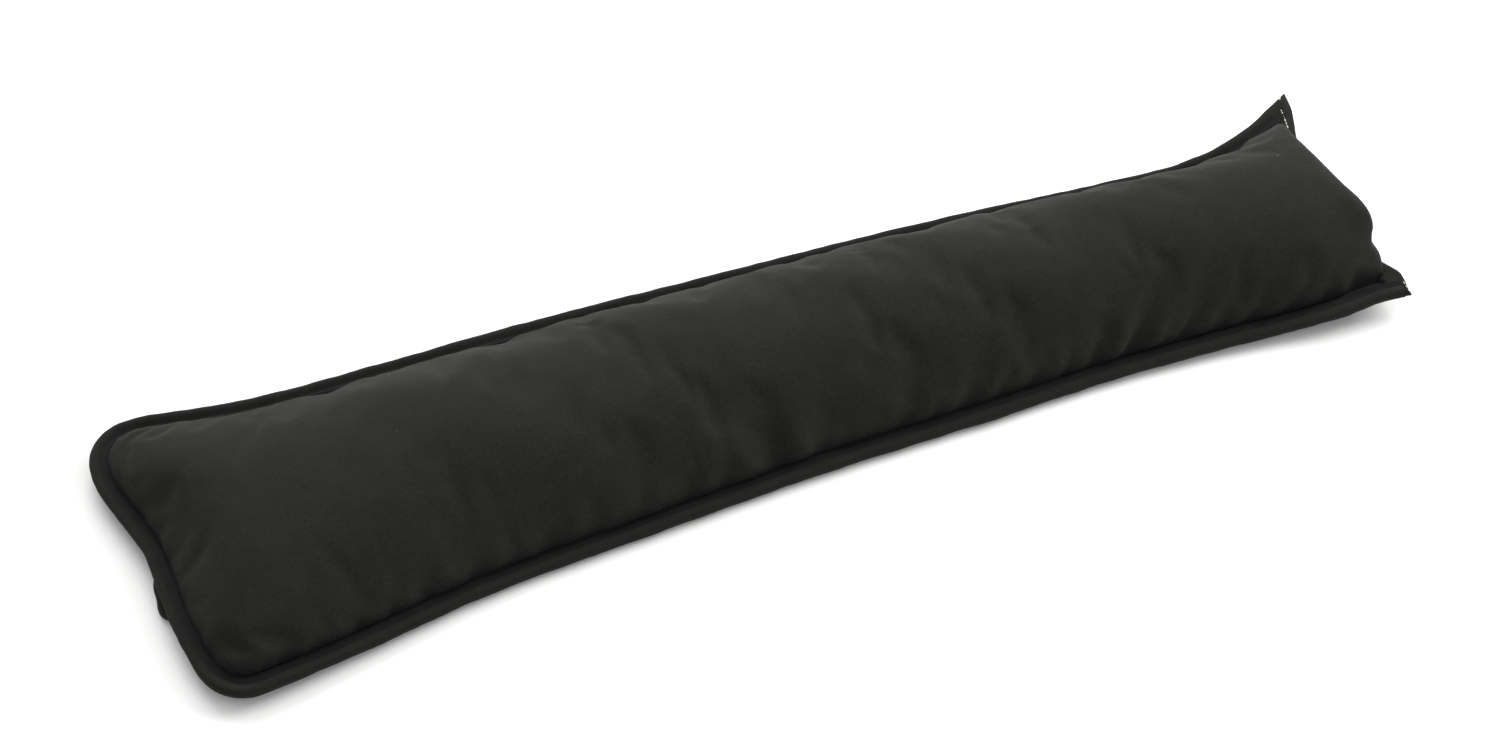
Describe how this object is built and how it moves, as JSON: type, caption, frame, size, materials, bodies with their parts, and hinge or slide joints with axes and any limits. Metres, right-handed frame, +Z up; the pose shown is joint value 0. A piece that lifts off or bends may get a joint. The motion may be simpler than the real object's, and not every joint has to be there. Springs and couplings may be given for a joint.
{
  "type": "draught excluder",
  "caption": "Long stuffed black cloth draught excluder with a bound edge, one rounded closed end and one straight stitched end, lying flat on its back panel",
  "frame": {"origin": "middle of the bounding box at the level of the floor it lies on", "axes": "+X along the length towards the straight stitched end, +Y across it towards the back edge, +Z up"},
  "size_m": [0.892, 0.252, 0.068],
  "materials": {
    "cover_cloth": "soft matte black brushed cloth with a fine nap",
    "binding_cloth": "matte black brushed cloth tape, stitched close to its inner edge"
  },
  "bodies": {
    "root": {"filled_cover": "cover_cloth", "edge_binding": "binding_cloth"}
  },
  "joints": []
}
